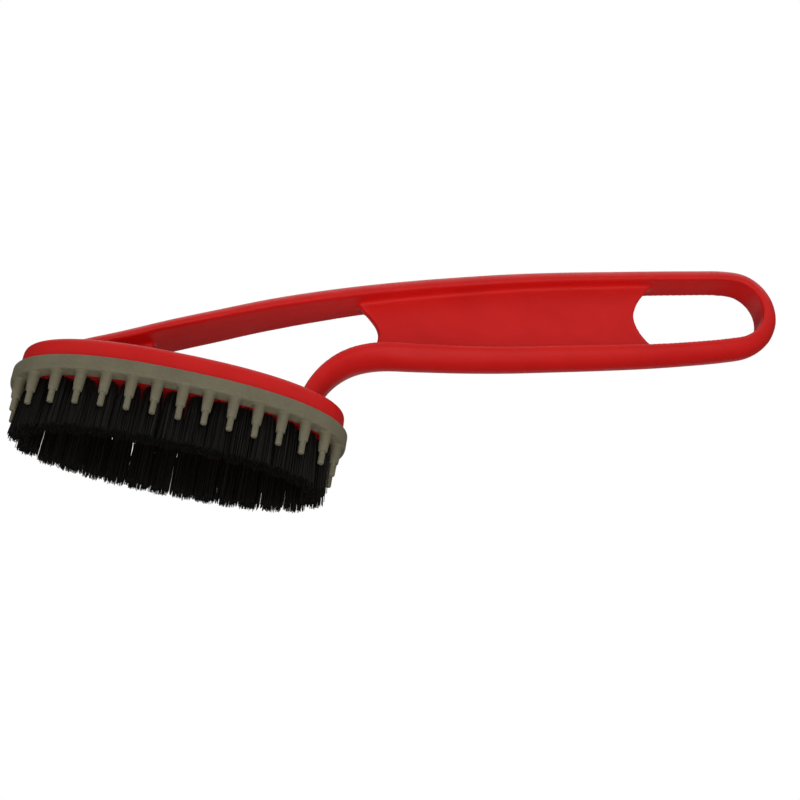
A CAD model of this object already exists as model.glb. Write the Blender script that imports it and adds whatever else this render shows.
import math

import bmesh
import bpy
import numpy as np
from mathutils import Matrix, Vector


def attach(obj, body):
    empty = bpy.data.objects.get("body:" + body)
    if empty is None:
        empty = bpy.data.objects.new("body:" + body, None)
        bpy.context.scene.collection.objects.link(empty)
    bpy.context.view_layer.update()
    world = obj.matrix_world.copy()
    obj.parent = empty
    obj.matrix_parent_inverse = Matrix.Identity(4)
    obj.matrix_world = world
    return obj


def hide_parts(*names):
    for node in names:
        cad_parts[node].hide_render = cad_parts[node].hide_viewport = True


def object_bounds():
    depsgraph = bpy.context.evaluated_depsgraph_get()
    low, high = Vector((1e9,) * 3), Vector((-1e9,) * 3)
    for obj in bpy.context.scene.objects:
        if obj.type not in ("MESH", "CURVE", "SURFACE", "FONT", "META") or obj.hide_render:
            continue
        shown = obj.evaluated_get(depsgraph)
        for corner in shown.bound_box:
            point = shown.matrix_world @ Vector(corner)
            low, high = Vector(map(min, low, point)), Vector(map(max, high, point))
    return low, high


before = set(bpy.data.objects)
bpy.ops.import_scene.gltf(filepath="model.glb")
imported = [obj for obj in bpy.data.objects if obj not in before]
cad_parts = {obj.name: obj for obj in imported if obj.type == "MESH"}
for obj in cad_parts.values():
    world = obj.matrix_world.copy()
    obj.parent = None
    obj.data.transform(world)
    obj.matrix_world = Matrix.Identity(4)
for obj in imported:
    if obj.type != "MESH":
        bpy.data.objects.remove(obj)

# A hand scrubbing brush. Lengths below are in millimetres, in the CAD frame, and repeat the numbers of part.scad.
MM = 0.001
scene = bpy.context.scene
cad_box = [list(map(float, v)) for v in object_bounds()]
low = np.array(cad_box[0]) / MM
high = np.array(cad_box[1]) / MM

# ---------- the part's numbers ----------

RA, RB, POWER = 54.0, 23.2, 2.3
Z_FACE, Z_RING, Z_CAP = 18.0, 23.0, 30.4
RING_LIP, CAP_WALL, PLATE_IN, BEAD = 1.8, 2.2, 4.9, 1.0
FINGER_N, FINGER_IN, FINGER_LEN = 30, 2.7, 10.9
FINGER_ROOT, FINGER_STEP, FINGER_TIP = 3.8, 2.9, 2.0
TUFT_N, TUFT_IN, HOLE_D, TIP_D, LEAN = 29, 8.2, 4.2, 7.0, math.radians(4)
WEB_T = 3.0

RAIL = [
    [-49, 25, 4.6, 15], [-46, 29.6, 4.6, 16.2], [-41, 33.6, 4.5, 17], [-35, 37.1, 4.8, 18],
    [-24, 42.7, 5, 18.9], [-10, 50.6, 5.1, 18.6], [5, 58.7, 5.4, 17.8], [20, 66.6, 5.6, 17],
    [35, 73.7, 5.8, 15.9], [50, 80.1, 5.8, 14.8], [66, 86.3, 5.8, 13.9], [82, 92, 5.8, 13.2],
    [98, 97.3, 5.7, 12.9], [114, 102.1, 5.6, 12.6], [131, 106.8, 5.5, 12.3], [148, 111.4, 5.4, 12.1],
    [162, 115.1, 5.4, 11.9], [173, 117.8, 5.4, 11.8], [181.3, 118.3, 5.5, 11.7], [188.1, 115.2, 5.7, 11.6],
    [192.8, 109.2, 5.8, 11.6], [194.4, 101.4, 5.8, 11.6], [192.1, 93.7, 5.7, 11.6], [186.4, 87.5, 5.6, 11.7],
    [178, 83.6, 5.6, 11.8], [164, 78.7, 5.6, 11.9], [150, 74.2, 5.8, 12.1], [135, 69.8, 6.2, 12.3],
    [119, 65.4, 6.2, 12.6], [103, 61.1, 6.2, 12.8], [88, 57.6, 6.2, 13.1], [74, 54.7, 6.3, 13.5],
    [62, 52.2, 6.5, 13.9], [54, 48.6, 6.6, 14.2], [48.4, 43.4, 6.6, 14.6], [44.8, 37.4, 6.6, 15],
    [42.8, 31, 6.6, 15.4], [42, 25, 6.6, 15.8],
]
WINDOW = [[-3, 20], [-4.5, 31], [-8, 37.5], [-12.5, 42.5], [-16, 48], [-10, 62], [20, 90], [44, 90], [50.3, 74.5], [54.7, 70], [57.8, 66.2],
          [58.6, 62.4], [57.4, 57.5], [54, 50], [46, 20]]
SLOT = [[200, 128], [157.5, 112.5], [150.4, 107], [146.6, 102], [144.5, 96.8], [144.1, 91.8],
        [146.6, 86.6], [151.6, 81.9], [159, 77], [200, 60]]

# ---------- outlines ----------


def spow(v, e):
    return np.sign(v) * np.abs(v) ** e


def oval_pt(a, b, t):
    t = np.radians(t)
    return np.stack([a * spow(np.cos(t), 2 / POWER), b * spow(np.sin(t), 2 / POWER)], -1)


def oval_steps(a, b, n, shift=0.0):
    """n points at equal steps round an oval, from the toe."""
    t = 180 + np.arange(721) * 0.5
    p = oval_pt(a, b, t)
    s = np.concatenate([[0], np.cumsum(np.linalg.norm(np.diff(p, axis=0), axis=1))])
    return oval_pt(a, b, np.interp((np.arange(n) + shift) * s[-1] / n, s, t))


def oval_normal(a, b, p):
    g = np.stack([spow(p[..., 0] / a, POWER - 1) / a, spow(p[..., 1] / b, POWER - 1) / b], -1)
    return g / np.linalg.norm(g, axis=-1, keepdims=True)


def smooth_line(p, k):
    """Catmull-Rom curve through the points, k steps between each pair."""
    p = np.array(p, float)
    n = len(p)
    out = []
    for i in range(n - 1):
        p0, p1, p2, p3 = p[max(i - 1, 0)], p[i], p[i + 1], p[min(i + 2, n - 1)]
        for j in range(k):
            t = j / k
            out.append(0.5 * (2 * p1 + (p2 - p0) * t + (2 * p0 - 5 * p1 + 4 * p2 - p3) * t * t
                              + (3 * p1 - p0 - 3 * p2 + p3) * t ** 3))
    out.append(p[-1])
    return np.array(out)


def inward(c):
    u = np.empty((len(c), 2))
    u[1:-1] = c[2:, :2] - c[:-2, :2]
    u[0] = c[1, :2] - c[0, :2]
    u[-1] = c[-1, :2] - c[-2, :2]
    u /= np.linalg.norm(u, axis=1, keepdims=True)
    return np.stack([u[:, 1], -u[:, 0]], 1)


# ---------- meshes ----------


class Shells:
    """Gathers closed shells, in millimetres."""

    def __init__(self):
        self.v, self.f, self.n = [], [], 0

    def add(self, verts, faces):
        self.v.append(np.asarray(verts, float))
        self.f += [tuple(int(i) + self.n for i in f) for f in faces]
        self.n += len(verts)

    def rings(self, rings, closed=False):
        """Rings of equal length joined in order. closed joins the last to the first, otherwise both ends are capped."""
        m, n = len(rings), len(rings[0])
        faces = []
        for j in range(m if closed else m - 1):
            k = (j + 1) % m
            for i in range(n):
                h = (i + 1) % n
                faces.append((j * n + i, j * n + h, k * n + h, k * n + i))
        if not closed:
            faces.append(tuple(range(n - 1, -1, -1)))
            faces.append(tuple((m - 1) * n + i for i in range(n)))
        self.add(np.concatenate(rings), faces)

    def prism(self, outline, y0, y1):
        """Outline in x, z, extruded along y."""
        o = np.asarray(outline, float)
        a = np.stack([o[:, 0], np.full(len(o), y0), o[:, 1]], 1)
        b = np.stack([o[:, 0], np.full(len(o), y1), o[:, 1]], 1)
        self.rings([a, b])

    def mesh(self, name):
        me = bpy.data.meshes.new(name)
        me.from_pydata((np.concatenate(self.v) * MM).tolist(), [], self.f)
        bm = bmesh.new()
        bm.from_mesh(me)
        bmesh.ops.recalc_face_normals(bm, faces=bm.faces)
        bm.to_mesh(me)
        bm.free()
        me.update()
        return me

    def object(self, name):
        ob = bpy.data.objects.new(name, self.mesh(name))
        scene.collection.objects.link(ob)
        return ob


def bake_down(ob):
    """Turns the object's modifiers into its mesh."""
    bpy.context.view_layer.update()
    done = bpy.data.meshes.new_from_object(ob.evaluated_get(bpy.context.evaluated_depsgraph_get()))
    ob.modifiers.clear()
    old = ob.data
    ob.data = done
    done.name = ob.name
    bpy.data.meshes.remove(old)


def drop(ob):
    me = ob.data
    bpy.data.objects.remove(ob)
    bpy.data.meshes.remove(me)


def cut(ob, tool, operation="DIFFERENCE"):
    m = ob.modifiers.new("cut", "BOOLEAN")
    m.operation, m.solver, m.object = operation, "EXACT", tool
    bake_down(ob)
    drop(tool)


def shade(ob, degrees=None):
    me = ob.data
    me.polygons.foreach_set("use_smooth", [True] * len(me.polygons))
    if degrees is not None:
        me.set_sharp_from_angle(angle=math.radians(degrees))
    me.update()


def keep_in_box(ob, pad=0.0):
    """The visual model stays inside the CAD box."""
    me = ob.data
    co = np.empty(len(me.vertices) * 3)
    me.vertices.foreach_get("co", co)
    co = np.clip(co.reshape(-1, 3), (low + pad) * MM, (high - pad) * MM)
    me.vertices.foreach_set("co", co.ravel())
    me.update()


def oval_rings(levels, n):
    out = []
    for z, inset in levels:
        p = oval_steps(RA - inset, RB - inset, n)
        out.append(np.column_stack([p, np.full(n, float(z))]))
    return out


# ---------- the one-piece handle: cap, struts, web, grip and hanging loop ----------

FOOT = 28.6  # the rails and the web stop inside the cap's roof


def handle():
    line = smooth_line(RAIL, 6)
    nv = inward(line)
    section = [(1, -0.93), (0.92, -1)]
    section += [(0.8 * (1 - math.cos(math.radians(a))), math.sin(math.radians(a))) for a in range(-90, 91, 9)]
    section += [(0.92, 1), (1, 0.93)]
    section = np.array(section)
    rings = []
    for i in range(len(line)):
        d, hw = line[i, 2], line[i, 3] / 2
        x = line[i, 0] + section[:, 0] * d * nv[i, 0]
        z = line[i, 1] + section[:, 0] * d * nv[i, 1]
        rings.append(np.column_stack([x, section[:, 1] * hw, np.maximum(z, FOOT)]))
    rails = Shells()
    rails.rings(rings)

    middle = line[:, :2] + line[:, 2:3] / 2 * nv
    middle[:, 1] = np.maximum(middle[:, 1], FOOT)
    keep = np.concatenate([[True], np.linalg.norm(np.diff(middle, axis=0), axis=1) > 1e-6])
    web = Shells()
    web.prism(middle[keep], -WEB_T / 2, WEB_T / 2)
    web = web.object("web")
    for name, edge in (("window", WINDOW), ("slot", SLOT)):
        tool = Shells()
        tool.prism(smooth_line(edge, 8), -20, 20)
        cut(web, tool.object(name))

    body = Shells()
    wall = RING_LIP + CAP_WALL
    body.rings(oval_rings([
        (Z_CAP - CAP_WALL, wall), (Z_RING, wall), (Z_RING, RING_LIP + 0.25), (Z_RING + 0.25, RING_LIP),
        (Z_CAP - 1.6, RING_LIP + 0.1), (Z_CAP - 1.15, RING_LIP + 0.19), (Z_CAP - 0.8, RING_LIP + 0.35),
        (Z_CAP - 0.48, RING_LIP + 0.58), (Z_CAP - 0.25, RING_LIP + 0.85), (Z_CAP - 0.08, RING_LIP + 1.2),
        (Z_CAP, RING_LIP + 1.6)], 240))

    ob = rails.object("handle_moulding")
    for part in (body.object("body"), web):
        bm = bmesh.new()
        bm.from_mesh(ob.data)
        bm.from_mesh(part.data)
        bm.to_mesh(ob.data)
        bm.free()
        drop(part)
    m = ob.modifiers.new("skin", "REMESH")
    m.mode, m.voxel_size, m.adaptivity, m.use_smooth_shade = "VOXEL", 0.00055, 0.0, True
    m = ob.modifiers.new("soft", "SMOOTH")
    m.factor, m.iterations = 0.5, 7
    bake_down(ob)
    shade(ob)
    keep_in_box(ob)
    return ob


def seam_strip(name):
    """The mould's parting line: a fine raised bead along the crest of the rail."""
    line = smooth_line(RAIL, 6)
    nv = inward(line)
    section = [(0.30, -0.34), (0.075, -0.26), (0.015, -0.12), (0.0, 0.0), (0.015, 0.12), (0.075, 0.26), (0.30, 0.34)]
    rings = []
    for i in range(len(line)):
        if line[i, 1] < Z_CAP - 0.3:
            continue
        rings.append([(line[i, 0] + d * nv[i, 0], w, line[i, 1] + d * nv[i, 1]) for d, w in section])
    s = Shells()
    s.rings([np.array(r) for r in rings])
    ob = s.object(name)
    shade(ob)
    keep_in_box(ob)
    return ob


# ---------- rubber ring with its stepped fingers ----------


def revolve(profile, n=28):
    """Rings round +Z of (height, radius)."""
    t = np.arange(n) * 2 * math.pi / n
    return [np.column_stack([r * np.cos(t), r * np.sin(t), np.full(n, float(h))]) for h, r in profile]


def finger_ring():
    n = 300
    rim = []
    for a in range(0, 91, 18):  # lower outer edge
        t = math.radians(a)
        rim.append((Z_FACE + 0.9 * (1 - math.sin(t)), 0.9 * (1 - math.cos(t))))
    rim = rim[::-1]
    top = []
    for a in range(0, 91, 18):
        t = math.radians(a)
        top.append((Z_RING - 0.55 * (1 - math.sin(t)), 0.55 * (1 - math.cos(t))))
    levels = rim + top + [
        (Z_RING, PLATE_IN), (Z_FACE + 2.4, PLATE_IN), (Z_FACE + 2.4, PLATE_IN + BEAD),
        (Z_FACE + 1.2, PLATE_IN + BEAD), (Z_FACE + 1.2, PLATE_IN), (Z_FACE + 0.2, PLATE_IN), (Z_FACE, PLATE_IN - 0.2)]
    s = Shells()
    s.rings(oval_rings(levels, n), closed=True)
    ring = s.object("rubber_finger_ring")

    step = 0.6 * FINGER_LEN + 0.3
    end = FINGER_LEN + 0.3
    r0, r1, r2 = FINGER_ROOT / 2, FINGER_STEP / 2, FINGER_TIP / 2

    def taper(h):
        return r0 + (r1 - r0) * h / step

    profile = [(-1.2, r0 - 0.1), (0.15, 2.3), (0.36, 2.3), (0.45, 2.14), (0.62, 2.0), (0.85, 1.91), (1.2, taper(1.2) + 0.01)]
    profile += [(h, taper(h)) for h in (2.2, 3.4, 4.6, 5.8)]
    profile += [(step - 0.34, taper(step - 0.34)), (step - 0.14, r1 - 0.04), (step - 0.03, r1 - 0.14), (step, r1 - 0.3),
                (step + 0.02, r2 + 0.1), (step + 0.1, r2 + 0.02), (step + 0.3, r2)]
    profile += [(h, r2) for h in (8.4, 9.8)]
    profile += [(end - 0.38, r2), (end - 0.2, r2 - 0.05), (end - 0.07, r2 - 0.16), (end, r2 - 0.36)]
    fingers = Shells()
    for x, y in oval_steps(RA - FINGER_IN, RB - FINGER_IN, FINGER_N, 0.5):
        rings = []
        for r in revolve(profile):
            r = r.copy()
            r[:, 2] = Z_FACE + 0.3 - r[:, 2]
            r[:, :2] += (x, y)
            rings.append(r)
        fingers.rings(rings)
    cut(ring, fingers.object("fingers"), "UNION")
    shade(ring, 34)
    keep_in_box(ring)
    return ring


# ---------- collars round the tuft holes ----------


def tuft_frames():
    """(hole mouth, outward, sideways, down the tuft) of each tuft."""
    a, b = RA - TUFT_IN, RB - TUFT_IN
    p = oval_steps(a, b, TUFT_N)
    nv = oval_normal(a, b, p)
    out = []
    for q, m in zip(p, nv):
        radial = np.array([m[0] * math.cos(LEAN), m[1] * math.cos(LEAN), math.sin(LEAN)])
        down = np.array([m[0] * math.sin(LEAN), m[1] * math.sin(LEAN), -math.cos(LEAN)])
        out.append((np.array([q[0], q[1], Z_FACE]), radial, np.cross(down, radial), down))
    return out


def collars():
    s = Shells()
    n = 32
    section = [(-0.5, 2.06), (-0.5, 2.9), (0.0, 2.8), (0.16, 2.68), (0.26, 2.5), (0.28, 2.34), (0.22, 2.18), (0.08, 2.08)]
    for at, u, v, down in tuft_frames():
        rings = []
        for h, r in section:
            t = np.arange(n) * 2 * math.pi / n
            rings.append(at + h * down + r * (np.cos(t)[:, None] * u + np.sin(t)[:, None] * v))
        s.rings(rings, closed=True)
    ob = s.object("tuft_collars")
    shade(ob, 50)
    return ob


# ---------- nylon tufts ----------


def tuft(k, at, u, v, down):
    """One tuft of separate tapered filaments, folded into its hole and trimmed at z = 0."""
    rng = np.random.default_rng(7000 + k)
    count, sides, steps = 230, 5, 8
    s = Shells()
    share, shade_of = [], []
    golden = math.pi * (3 - math.sqrt(5))
    reach = Z_FACE / math.cos(LEAN)
    mouth = 1.0 / (reach + 1.6)
    for i in range(count):
        rho = math.sqrt((i + 0.5) / count)
        phi = i * golden + rng.normal(0, 0.10)
        cu, cv = math.cos(phi), math.sin(phi)
        out = rho * (1 + rng.normal(0, 0.03))
        # round in the hole, nearly square where it spreads against its neighbours
        square = (abs(cu) ** 3.2 + abs(cv) ** 3.2) ** (-1 / 3.2)
        base = out * 2.5
        tip = out * square * (TIP_D / 2 + 0.08)
        bend = rng.normal(0, 0.22, 2)
        stray = rng.random()
        if stray < 0.03:
            tip *= 1.15
            bend *= 3.0
        uneven = abs(rng.normal(0, 0.17)) + (rng.random() < 0.08) * rng.uniform(0.2, 0.6)
        if stray > 0.985:
            uneven += rng.uniform(1.0, 3.0)
        radius0, radius1 = rng.uniform(0.140, 0.165), rng.uniform(0.105, 0.130)
        spin = rng.uniform(0, 2 * math.pi)
        wave = rng.normal(0, 0.08, 2)
        c = []
        for j in range(steps + 1):
            w = j / steps
            g = max(0.0, (w - mouth) / (1 - mouth))
            f = 0.93 * (1 - (1 - g) ** 5.0) + 0.07 * g
            off = (1 - f) * base + f * tip
            c.append(at + (-1.6 + (reach + 1.6) * w) * down
                     + (off * cu + f * bend[0] + math.sin(w * 4 + spin) * g * wave[0]) * u
                     + (off * cv + f * bend[1] + math.sin(w * 4 + spin) * g * wave[1]) * v)
        c = np.array(c)
        # trim: the height runs from the hole to the uneven end, kept above z = 0
        z0, z1 = c[0, 2], 0.06 + uneven
        c[:, 2] = z0 + (c[:, 2] - z0) * (z1 - z0) / (c[-1, 2] - z0)
        c[:, 0] = np.clip(c[:, 0], low[0] + 0.5, high[0] - 0.5)
        tangent = np.gradient(c, axis=0)
        tangent /= np.linalg.norm(tangent, axis=1, keepdims=True)
        shell = []
        for j in range(steps + 1):
            w = j / steps
            e1 = np.cross(tangent[j], v)
            e1 /= np.linalg.norm(e1)
            e2 = np.cross(tangent[j], e1)
            r = radius0 + (radius1 - radius0) * w
            t = spin + np.arange(sides) * 2 * math.pi / sides
            ring = c[j] + r * (np.cos(t)[:, None] * e1 + np.sin(t)[:, None] * e2)
            if j == steps:
                ring[:, 2] = c[j, 2] + 0.25 * (ring[:, 2] - c[j, 2])
            shell.append(ring)
        s.rings(shell)
        tint = rng.random()
        for j in range(steps + 1):
            share += [j / steps] * sides
            shade_of += [tint] * sides
    ob = s.object(f"tuft_{k + 1:02d}_filaments")
    shade(ob, 60)
    for name, values in (("along", share), ("tint", shade_of)):
        a = ob.data.attributes.new(name, "FLOAT", "POINT")
        a.data.foreach_set("value", values)
    keep_in_box(ob)
    return ob


# ---------- materials ----------


class Tree:
    """A material's nodes, with coordinates in millimetres of the object's own frame."""

    def __init__(self, name):
        self.mat = bpy.data.materials.new(name)
        self.mat.use_nodes = True
        self.nt = self.mat.node_tree
        self.nt.nodes.clear()
        self.out = self.nt.nodes.new("ShaderNodeOutputMaterial")
        self.p = self.nt.nodes.new("ShaderNodeBsdfPrincipled")
        self.link(self.p.outputs[0], self.out.inputs["Surface"])
        tc = self.nt.nodes.new("ShaderNodeTexCoord")
        self.mm = self.scaled(tc.outputs["Object"], (1000, 1000, 1000))

    def link(self, a, b):
        self.nt.links.new(a, b)

    def put(self, socket, value):
        if isinstance(value, bpy.types.NodeSocket):
            self.link(value, socket)
        else:
            socket.default_value = value

    def scaled(self, vector, by):
        m = self.nt.nodes.new("ShaderNodeMapping")
        m.inputs["Scale"].default_value = by
        self.link(vector, m.inputs["Vector"])
        return m.outputs[0]

    def noise(self, scale, detail=3.0, rough=0.55, vector=None, distortion=0.0):
        n = self.nt.nodes.new("ShaderNodeTexNoise")
        n.inputs["Scale"].default_value = scale
        n.inputs["Detail"].default_value = detail
        n.inputs["Roughness"].default_value = rough
        n.inputs["Distortion"].default_value = distortion
        self.link(vector or self.mm, n.inputs["Vector"])
        return n.outputs["Fac"]

    def cells(self, scale, vector=None):
        n = self.nt.nodes.new("ShaderNodeTexVoronoi")
        n.inputs["Scale"].default_value = scale
        self.link(vector or self.mm, n.inputs["Vector"])
        return n.outputs["Distance"]

    def range(self, value, a, b, c, d):
        n = self.nt.nodes.new("ShaderNodeMapRange")
        self.put(n.inputs[0], value)
        for i, v in enumerate((a, b, c, d)):
            n.inputs[i + 1].default_value = v
        return n.outputs[0]

    def maths(self, op, a, b=0.0):
        n = self.nt.nodes.new("ShaderNodeMath")
        n.operation = op
        self.put(n.inputs[0], a)
        self.put(n.inputs[1], b)
        return n.outputs[0]

    def ramp(self, value, stops):
        n = self.nt.nodes.new("ShaderNodeValToRGB")
        while len(n.color_ramp.elements) < len(stops):
            n.color_ramp.elements.new(0.5)
        for e, (at, col) in zip(n.color_ramp.elements, stops):
            e.position, e.color = at, (*col, 1)
        self.link(value, n.inputs[0])
        return n.outputs[0]

    def mix(self, share, a, b, kind="MIX"):
        n = self.nt.nodes.new("ShaderNodeMix")
        n.data_type, n.blend_type = "RGBA", kind
        self.put(n.inputs[0], share)
        for socket, v in ((n.inputs[6], a), (n.inputs[7], b)):
            self.put(socket, v if isinstance(v, bpy.types.NodeSocket) else (*v, 1))
        return n.outputs[2]

    def bumps(self, *layers):
        """(height, distance in mm) layers, each over the last."""
        normal = None
        for height, distance in layers:
            n = self.nt.nodes.new("ShaderNodeBump")
            n.inputs["Strength"].default_value = 1.0
            n.inputs["Distance"].default_value = distance * MM
            self.link(height, n.inputs["Height"])
            if normal:
                self.link(normal, n.inputs["Normal"])
            normal = n.outputs[0]
        self.link(normal, self.p.inputs["Normal"])

    def edges(self, a, b):
        g = self.nt.nodes.new("ShaderNodeNewGeometry")
        return self.range(g.outputs["Pointiness"], a, b, 0, 1)

    def attribute(self, name):
        n = self.nt.nodes.new("ShaderNodeAttribute")
        n.attribute_name = name
        return n.outputs["Fac"]

    def constants(self, **values):
        for k, v in values.items():
            self.p.inputs[k.replace("_", " ")].default_value = v


def red_plastic(name, tone=1.0, wear=1.0, rough=0.40):
    t = Tree(name)

    def c(r, g, b):
        return (r * tone, g * tone, b * tone)

    clouds = t.noise(0.035, 4, 0.6, distortion=0.4)
    base = t.ramp(clouds, [(0.3, c(0.565, 0.0066, 0.0056)), (0.5, c(0.615, 0.0082, 0.0070)), (0.7, c(0.655, 0.0104, 0.0088))])
    # the melt's flow marks, drawn out along the handle
    flow = t.noise(0.5, 3, 0.6, vector=t.scaled(t.mm, (0.12, 1.0, 0.55)))
    base = t.mix(t.range(flow, 0.35, 0.75, 0.0, 0.28), base, c(0.690, 0.0150, 0.0130))
    specks = t.range(t.noise(2.6, 2, 0.5), 0.70, 0.80, 0.0, 0.20)
    base = t.mix(specks, base, c(0.470, 0.004, 0.004))
    # scuffed edges and hairline scratches from use
    edge = t.maths("MULTIPLY", t.edges(0.515, 0.60), t.range(t.noise(0.35, 4, 0.65), 0.35, 0.70, 0.0, 0.40 * wear))
    scratch = t.range(t.noise(1.0, 5, 0.62, vector=t.scaled(t.mm, (0.10, 3.4, 2.6))), 0.640, 0.690, 0.0, 0.30 * wear)
    worn = t.maths("MAXIMUM", edge, t.maths("MULTIPLY", scratch, t.range(t.noise(0.06, 2), 0.45, 0.65, 0.0, 1.0)))
    t.link(t.mix(worn, base, c(0.700, 0.050, 0.046)), t.p.inputs["Base Color"])
    r = t.range(t.noise(0.25, 4, 0.6), 0.3, 0.7, rough - 0.05, rough + 0.07)
    r = t.maths("ADD", r, t.maths("MULTIPLY", worn, 0.28))
    r = t.maths("ADD", r, t.range(t.noise(5.5, 2, 0.5), 0.3, 0.7, -0.03, 0.03))
    t.link(r, t.p.inputs["Roughness"])
    t.bumps((t.noise(0.10, 2, 0.5), 0.16), (t.noise(2.2, 3, 0.6), 0.010), (t.noise(7.5, 2, 0.5), 0.004), (worn, -0.02))
    t.constants(Specular_IOR_Level=0.21, IOR=1.5)
    return t.mat


def grey_rubber(name):
    t = Tree(name)
    clouds = t.noise(0.10, 4, 0.6)
    base = t.ramp(clouds, [(0.30, (0.130, 0.116, 0.071)), (0.52, (0.149, 0.135, 0.084)), (0.75, (0.170, 0.156, 0.099))])
    dust = t.range(t.noise(1.3, 5, 0.65), 0.48, 0.72, 0.0, 0.30)
    base = t.mix(dust, base, (0.208, 0.194, 0.136))
    specks = t.range(t.cells(1.9), 0.05, 0.16, 0.35, 0.0)
    base = t.mix(specks, base, (0.093, 0.084, 0.060))
    edge = t.maths("MULTIPLY", t.edges(0.51, 0.58), t.range(t.noise(0.8, 3), 0.35, 0.7, 0.1, 0.55))
    t.link(t.mix(edge, base, (0.250, 0.236, 0.186)), t.p.inputs["Base Color"])
    t.link(t.range(t.noise(0.7, 4, 0.6), 0.3, 0.7, 0.58, 0.76), t.p.inputs["Roughness"])
    t.bumps((t.noise(0.35, 2, 0.5), 0.10), (t.noise(4.5, 4, 0.65), 0.022), (t.cells(3.2), 0.010))
    t.constants(Specular_IOR_Level=0.28, IOR=1.5, Sheen_Weight=0.06, Sheen_Roughness=0.5)
    return t.mat


def black_nylon(name):
    t = Tree(name)
    along, tint = t.attribute("along"), t.attribute("tint")
    base = t.ramp(tint, [(0.0, (0.0035, 0.0033, 0.0035)), (0.55, (0.0065, 0.0060, 0.0055)), (1.0, (0.0135, 0.0120, 0.0100))])
    dusty = t.maths("MULTIPLY", t.range(along, 0.45, 1.0, 0.0, 0.12), t.range(t.noise(1.4, 4, 0.6), 0.40, 0.75, 0.0, 1.0))
    base = t.mix(dusty, base, (0.032, 0.029, 0.024))
    streak = t.noise(3.0, 3, 0.6, vector=t.scaled(t.mm, (1.0, 1.0, 0.12)))
    t.link(t.mix(t.range(streak, 0.5, 0.8, 0.0, 0.35), base, (0.018, 0.017, 0.015)), t.p.inputs["Base Color"])
    r = t.maths("ADD", t.range(tint, 0, 1, 0.30, 0.44), t.range(t.noise(2.5, 3), 0.3, 0.7, -0.04, 0.06))
    t.link(r, t.p.inputs["Roughness"])
    t.bumps((streak, 0.012), (t.noise(9.0, 2), 0.004))
    t.constants(Specular_IOR_Level=0.23, IOR=1.5)
    return t.mat


def anchor_wire(name):
    t = Tree(name)
    pull = t.noise(2.0, 4, 0.6, vector=t.scaled(t.mm, (6.0, 0.8, 6.0)))
    base = t.ramp(pull, [(0.3, (0.42, 0.41, 0.40)), (0.7, (0.62, 0.61, 0.60))])
    t.link(t.mix(t.range(t.noise(1.2, 3), 0.5, 0.8, 0.0, 0.5), base, (0.28, 0.22, 0.17)), t.p.inputs["Base Color"])
    t.link(t.range(pull, 0.3, 0.7, 0.22, 0.42), t.p.inputs["Roughness"])
    t.bumps((pull, 0.01), (t.noise(8.0, 2), 0.004))
    t.constants(Metallic=1.0)
    return t.mat


RED = red_plastic("red_plastic_moulded")
RED_PLATE = red_plastic("red_plastic_plate", tone=0.52, wear=0.4, rough=0.46)
GREY = grey_rubber("grey_rubber_moulded")
NYLON = black_nylon("black_nylon_filament")
STEEL = anchor_wire("anchor_wire_drawn")


def piece(ob, mat, slot, *nodes):
    ob.data.materials.clear()
    ob.data.materials.append(mat)
    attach(ob, "root")
    if nodes:
        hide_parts(*nodes)
    return ob


piece(handle(), RED, "red_plastic", "handle_frame")
piece(seam_strip("mould_parting_line"), RED, "red_plastic")
piece(finger_ring(), GREY, "grey_rubber", "finger_ring")
piece(collars(), RED_PLATE, "red_plate")
for k, (at, u, v, down) in enumerate(tuft_frames()):
    piece(tuft(k, at, u, v, down), NYLON, "black_nylon", f"tuft_{k + 1:02d}")

for node, mat in (("bristle_plate", RED_PLATE), ("tuft_anchors", STEEL)):
    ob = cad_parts[node]
    for s in ob.material_slots:
        s.material = mat

# ---------- stage: a pale floor, seen from above only, and a soft studio ----------


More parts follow.
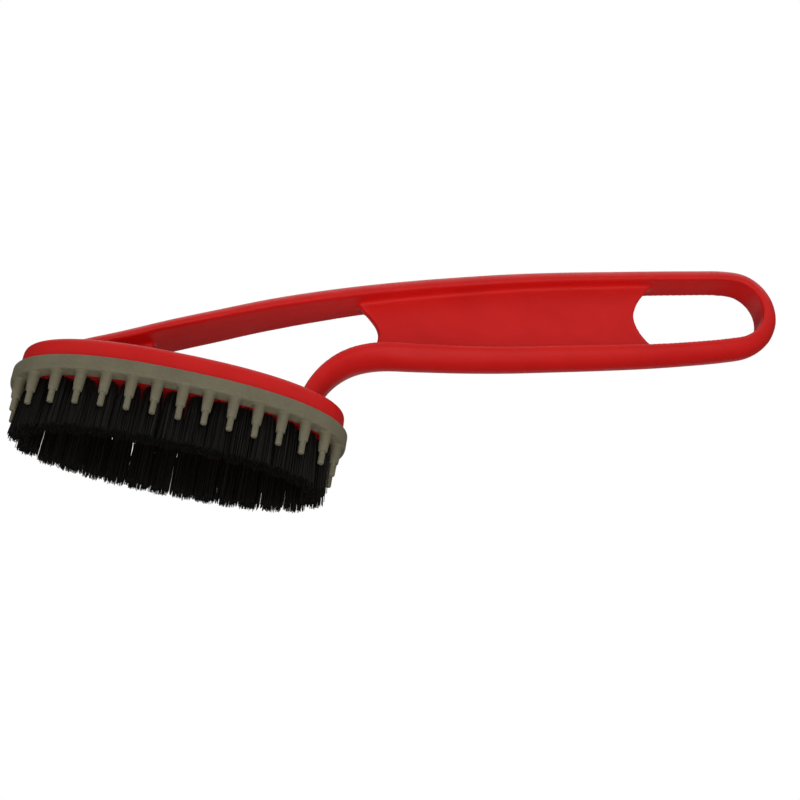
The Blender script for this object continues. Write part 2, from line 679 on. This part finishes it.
def floor():
    s = Shells()
    z = -0.05
    s.add([(-6000, -6000, z), (6200, -6000, z), (6200, 6000, z), (-6000, 6000, z)], [(0, 1, 2, 3)])
    me = bpy.data.meshes.new("floor")
    me.from_pydata((np.concatenate(s.v) * MM).tolist(), [], s.f)
    ob = bpy.data.objects.new("floor", me)
    scene.collection.objects.link(ob)
    mat = bpy.data.materials.new("pale_floor")
    mat.use_nodes = True
    nt = mat.node_tree
    nt.nodes.clear()
    out = nt.nodes.new("ShaderNodeOutputMaterial")
    mix = nt.nodes.new("ShaderNodeMixShader")
    geo = nt.nodes.new("ShaderNodeNewGeometry")
    top = nt.nodes.new("ShaderNodeBsdfDiffuse")
    under = nt.nodes.new("ShaderNodeBsdfTransparent")
    noise = nt.nodes.new("ShaderNodeTexNoise")
    ramp = nt.nodes.new("ShaderNodeValToRGB")
    noise.inputs["Scale"].default_value = 14
    noise.inputs["Detail"].default_value = 5
    for e, c in zip(ramp.color_ramp.elements, ((0.80, 0.79, 0.775, 1), (0.86, 0.85, 0.84, 1))):
        e.color = c
    nt.links.new(noise.outputs["Fac"], ramp.inputs[0])
    nt.links.new(ramp.outputs[0], top.inputs["Color"])
    # a little glow keeps the far floor pale
    glow = nt.nodes.new("ShaderNodeEmission")
    glow.inputs["Color"].default_value = (1.0, 0.99, 0.975, 1)
    glow.inputs["Strength"].default_value = 0.20
    both = nt.nodes.new("ShaderNodeAddShader")
    nt.links.new(top.outputs[0], both.inputs[0])
    nt.links.new(glow.outputs[0], both.inputs[1])
    # the floor runs out into the white backdrop, so no horizon shows
    place = nt.nodes.new("ShaderNodeTexCoord")
    reach = nt.nodes.new("ShaderNodeVectorMath")
    reach.operation = "LENGTH"
    fade = nt.nodes.new("ShaderNodeMapRange")
    fade.interpolation_type = "SMOOTHSTEP"
    for i, v in enumerate((0.35, 1.05, 0.0, 1.0)):
        fade.inputs[i + 1].default_value = v
    white = nt.nodes.new("ShaderNodeEmission")
    white.inputs["Color"].default_value = (1, 1, 1, 1)
    white.inputs["Strength"].default_value = 1.0
    ground = nt.nodes.new("ShaderNodeMixShader")
    nt.links.new(place.outputs["Object"], reach.inputs[0])
    nt.links.new(reach.outputs["Value"], fade.inputs[0])
    nt.links.new(fade.outputs[0], ground.inputs[0])
    nt.links.new(both.outputs[0], ground.inputs[1])
    nt.links.new(white.outputs[0], ground.inputs[2])
    nt.links.new(geo.outputs["Backfacing"], mix.inputs[0])
    nt.links.new(ground.outputs[0], mix.inputs[1])
    nt.links.new(under.outputs[0], mix.inputs[2])
    nt.links.new(mix.outputs[0], out.inputs["Surface"])
    me.materials.append(mat)
    ob.visible_shadow = False
    ob.visible_diffuse = False
    ob.visible_glossy = False
    ob.visible_transmission = False


floor()

world = bpy.data.worlds.new("studio")
scene.world = world
world.use_nodes = True
nt = world.node_tree
nt.nodes.clear()
out = nt.nodes.new("ShaderNodeOutputWorld")
mix = nt.nodes.new("ShaderNodeMixShader")
path = nt.nodes.new("ShaderNodeLightPath")
seen = nt.nodes.new("ShaderNodeBackground")
room = nt.nodes.new("ShaderNodeBackground")
seen.inputs["Color"].default_value = (1, 1, 1, 1)
seen.inputs["Strength"].default_value = 1.0
room.inputs["Color"].default_value = (1.0, 0.985, 0.965, 1)
# the room is brighter in front and below than behind
way = nt.nodes.new("ShaderNodeTexCoord")
split = nt.nodes.new("ShaderNodeSeparateXYZ")
level = nt.nodes.new("ShaderNodeMapRange")
for i, v in enumerate((-0.9, 0.5, 0.42, 0.085)):
    level.inputs[i + 1].default_value = v
nt.links.new(way.outputs["Generated"], split.inputs[0])
nt.links.new(split.outputs["Y"], level.inputs[0])
nt.links.new(level.outputs[0], room.inputs["Strength"])
nt.links.new(path.outputs["Is Camera Ray"], mix.inputs[0])
nt.links.new(room.outputs[0], mix.inputs[1])
nt.links.new(seen.outputs[0], mix.inputs[2])
nt.links.new(mix.outputs[0], out.inputs["Surface"])


def softbox(name, at, watts, wide, tall, tint=(1, 1, 1)):
    data = bpy.data.lights.new(name, "AREA")
    data.shape, data.size, data.size_y = "RECTANGLE", wide, tall
    data.energy, data.color = watts, tint
    ob = bpy.data.objects.new(name, data)
    scene.collection.objects.link(ob)
    aim = Vector((0.06, 0, 0.06))
    ob.location = Vector(at)
    ob.rotation_mode = "QUATERNION"
    ob.rotation_quaternion = (aim - Vector(at)).to_track_quat("-Z", "Y")
    ob.visible_camera = False
    return ob


softbox("key", (0.05, -1.15, -0.42), 6.2, 1.5, 1.1, (1.0, 0.985, 0.965))
softbox("low", (0.05, -0.56, -1.00), 3.6, 0.8, 0.55, (1.0, 0.985, 0.965))
softbox("paper", (0.06, 1.20, 0.20), 2.0, 1.8, 0.7, (1.0, 0.975, 0.975))
softbox("overhead", (0.05, -0.20, 1.30), 10.5, 2.0, 1.6)
softbox("behind", (0.10, 0.80, 1.30), 2.5, 1.2, 0.8)

# ---------- camera ----------

az, el, roll = math.radians(-6.04), math.radians(-30), math.radians(8.81)
tx, ty, dist = -69.74, -1.88, 637.85
back = Vector((math.sin(az) * math.cos(el), -math.cos(az) * math.cos(el), math.sin(el)))
fwd = -back
right = fwd.cross(Vector((0, 0, 1))).normalized()
up = right.cross(fwd)
r = math.cos(roll) * right + math.sin(roll) * up
w = -math.sin(roll) * right + math.cos(roll) * up
at = -(tx * r + ty * w + dist * fwd)
at.z += Z_RING
at *= MM
camera = bpy.data.cameras.new("camera")
camera.lens, camera.sensor_width = 90, 36
camera.clip_start, camera.clip_end = 0.01, 20
eye = bpy.data.objects.new("camera", camera)
scene.collection.objects.link(eye)
eye.matrix_world = Matrix(((r.x, w.x, -fwd.x, at.x), (r.y, w.y, -fwd.y, at.y), (r.z, w.z, -fwd.z, at.z), (0, 0, 0, 1)))
scene.camera = eye

scene.view_settings.view_transform = "Standard"
scene.view_settings.look = "None"
scene.view_settings.exposure = 0.0
scene.view_settings.gamma = 1.0

bpy.context.view_layer.update()
